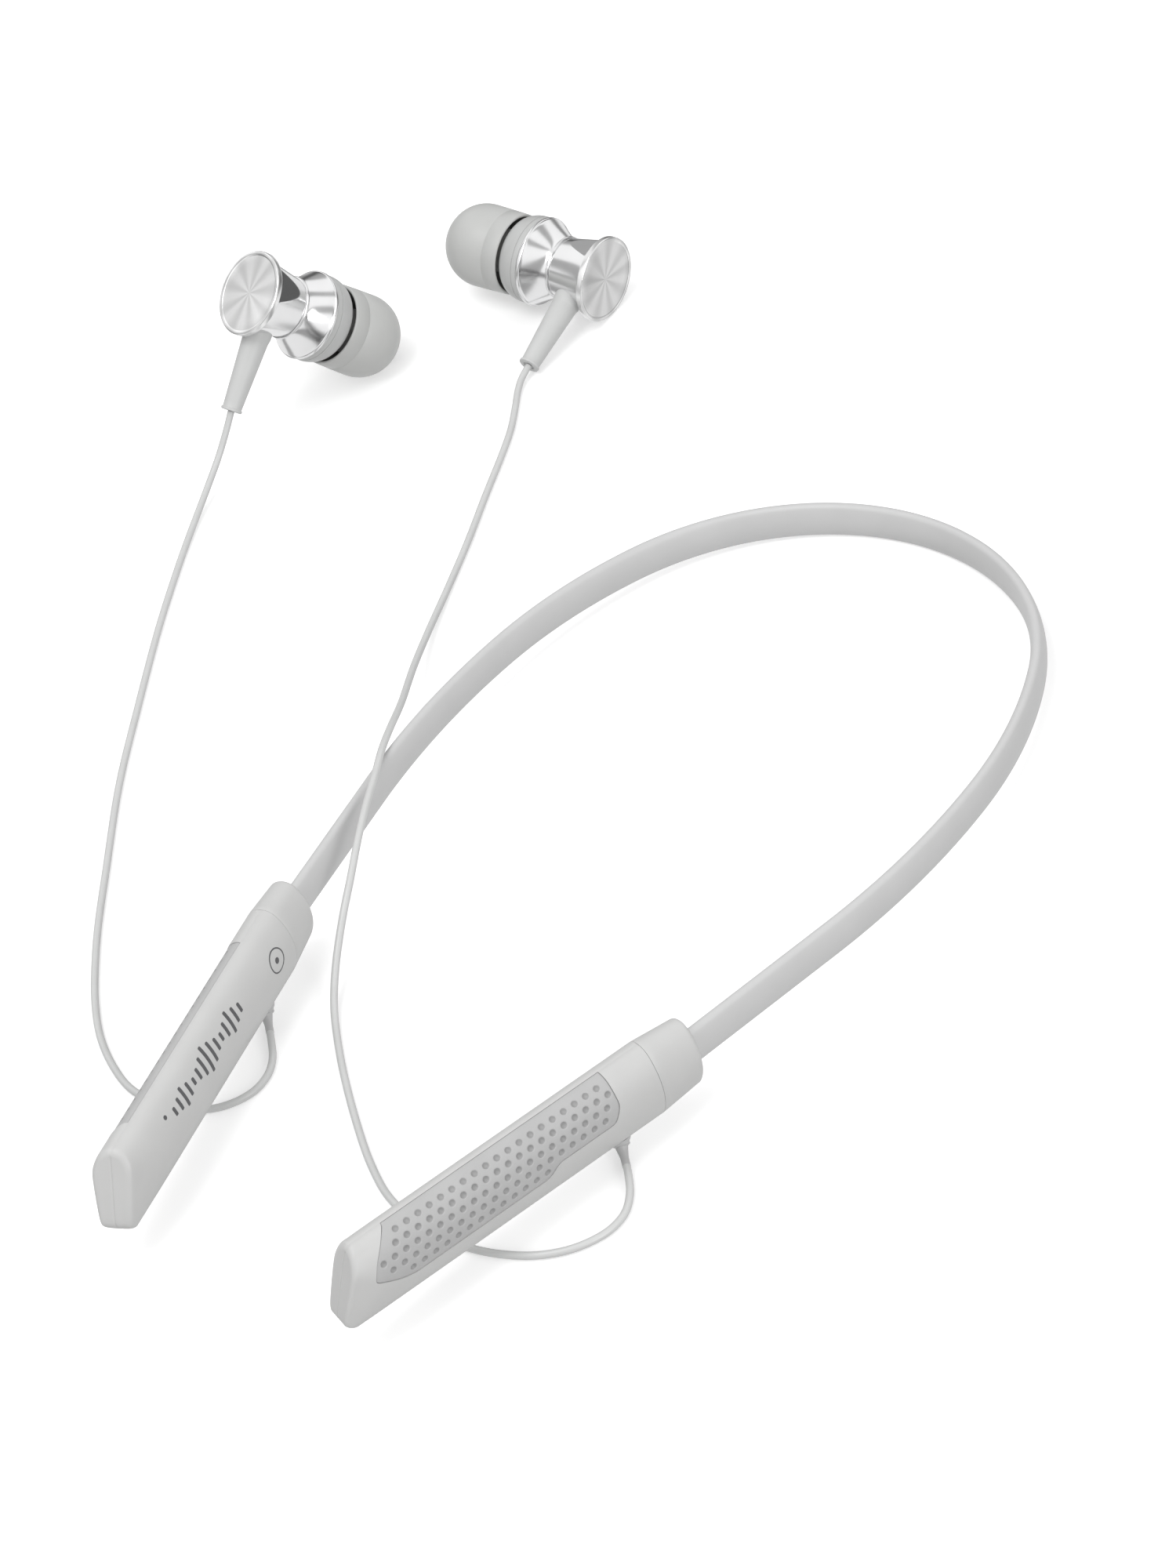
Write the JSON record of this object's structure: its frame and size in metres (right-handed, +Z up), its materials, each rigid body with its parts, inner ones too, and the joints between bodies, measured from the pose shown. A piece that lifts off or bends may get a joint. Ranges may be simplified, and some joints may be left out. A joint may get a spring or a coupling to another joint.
{
  "type": "neckband earphones",
  "caption": "Wireless neckband earphones: a flexible horseshoe neckband with slim electronics pods, dimpled grip panels and metal in-ear buds on thin cords.",
  "frame": {"origin": "on the table, at the centre of the arc that the neckband makes behind the neck", "axes": "+Z up from the table, +X to the back of the neck, +Y to the wearer's right"},
  "size_m": [0.2407, 0.199, 0.0348],
  "materials": {
    "band_elastomer": "satin, flexible elastomer",
    "pod_plastic": "soft-touch matte",
    "panel_rubber": "dimpled soft grip",
    "button_plastic": "soft-touch matte",
    "cord_jacket": "smooth, slightly glossy",
    "gland_rubber": "satin",
    "boot_rubber": "satin",
    "tip_silicone": "matte silicone",
    "bud_metal": "polished",
    "cap_metal": "spun, brushed in circles",
    "bud_plastic": "moulded, semi-gloss",
    "spring_steel": "drawn wire",
    "inner_cable": "matte",
    "screw_steel": "plated",
    "cell_foil": "foil pouch",
    "circuit_board": "solder mask",
    "chip_shield": "pressed tin can",
    "usb_metal": "pressed shell",
    "switch_metal": "pressed housing",
    "plunger_plastic": "moulded",
    "light_pipe": "clear diffusing",
    "driver_frame": "moulded",
    "magnet_steel": "plated",
    "mesh_steel": "woven"
  },
  "bodies": {
    "neckband": {"band_right": "band_elastomer", "memory_wire_right": "spring_steel", "band_cable_right": "inner_cable", "collar_right": "pod_plastic", "pod_right_outer_shell": "pod_plastic", "pod_right_inner_shell": "pod_plastic", "grip_panel_right": "panel_rubber", "pod_right_screws": "screw_steel", "battery": "cell_foil", "protection_board": "circuit_board", "gland_right": "gland_rubber", "cord_right": "cord_jacket", "cord_left": "cord_jacket", "bud_right_cap": "cap_metal", "bud_right_barrel": "bud_metal", "bud_right_front_cone": "bud_metal", "bud_right_nozzle": "bud_plastic", "bud_right_driver": "driver_frame", "bud_right_magnet": "magnet_steel", "bud_right_mesh": "mesh_steel", "bud_right_boot": "boot_rubber", "bud_left_cap": "cap_metal", "bud_left_barrel": "bud_metal", "bud_left_front_cone": "bud_metal", "bud_left_nozzle": "bud_plastic", "bud_left_driver": "driver_frame", "bud_left_magnet": "magnet_steel", "bud_left_mesh": "mesh_steel", "bud_left_boot": "boot_rubber"},
    "left_arm": {"band_left": "band_elastomer", "memory_wire_left": "spring_steel", "band_cable_left": "inner_cable", "collar_left": "pod_plastic", "pod_left_outer_shell": "pod_plastic", "pod_left_inner_shell": "pod_plastic", "grip_panel_left": "panel_rubber", "pod_left_screws": "screw_steel", "main_board": "circuit_board", "bluetooth_module": "chip_shield", "usb_port": "usb_metal", "switch_housings": "switch_metal", "microphone": "switch_metal", "status_light": "light_pipe", "gland_left": "gland_rubber"},
    "volume_up_key": {"volume_up_button": "button_plastic", "volume_up_plunger": "plunger_plastic"},
    "call_key": {"call_button": "button_plastic", "call_plunger": "plunger_plastic"},
    "volume_down_key": {"volume_down_button": "button_plastic", "volume_down_plunger": "plunger_plastic"},
    "right_ear_tip": {"ear_tip_right": "tip_silicone"},
    "left_ear_tip": {"ear_tip_left": "tip_silicone"}
  },
  "joints": [
    {"name": "left_arm_flex", "type": "hinge", "parent": "neckband", "child": "left_arm", "pos_m": [0.04694, 0, 0.00339], "axis": [0.0523, 0, 0.9986], "range_deg": [-4, 12], "stiffness_Nm_per_rad": 1.2, "deforming": ["cord_left"]},
    {"name": "volume_up_press", "type": "slide", "parent": "left_arm", "child": "volume_up_key", "axis": [-0.2585, -0.9659, 0.0135], "range_m": [0, 0.0004], "stiffness_N_per_m": 3000},
    {"name": "call_press", "type": "slide", "parent": "left_arm", "child": "call_key", "axis": [-0.2585, -0.9659, 0.0135], "range_m": [0, 0.0004], "stiffness_N_per_m": 3000},
    {"name": "volume_down_press", "type": "slide", "parent": "left_arm", "child": "volume_down_key", "axis": [-0.2585, -0.9659, 0.0135], "range_m": [0, 0.0004], "stiffness_N_per_m": 3000},
    {"name": "right_tip_pull", "type": "slide", "parent": "neckband", "child": "right_ear_tip", "axis": [0.6127, -0.2074, -0.7627], "range_m": [0, 0.009]},
    {"name": "left_tip_pull", "type": "slide", "parent": "neckband", "child": "left_ear_tip", "axis": [-0.0221, 0.9975, 0.0664], "range_m": [0, 0.009]}
  ]
}
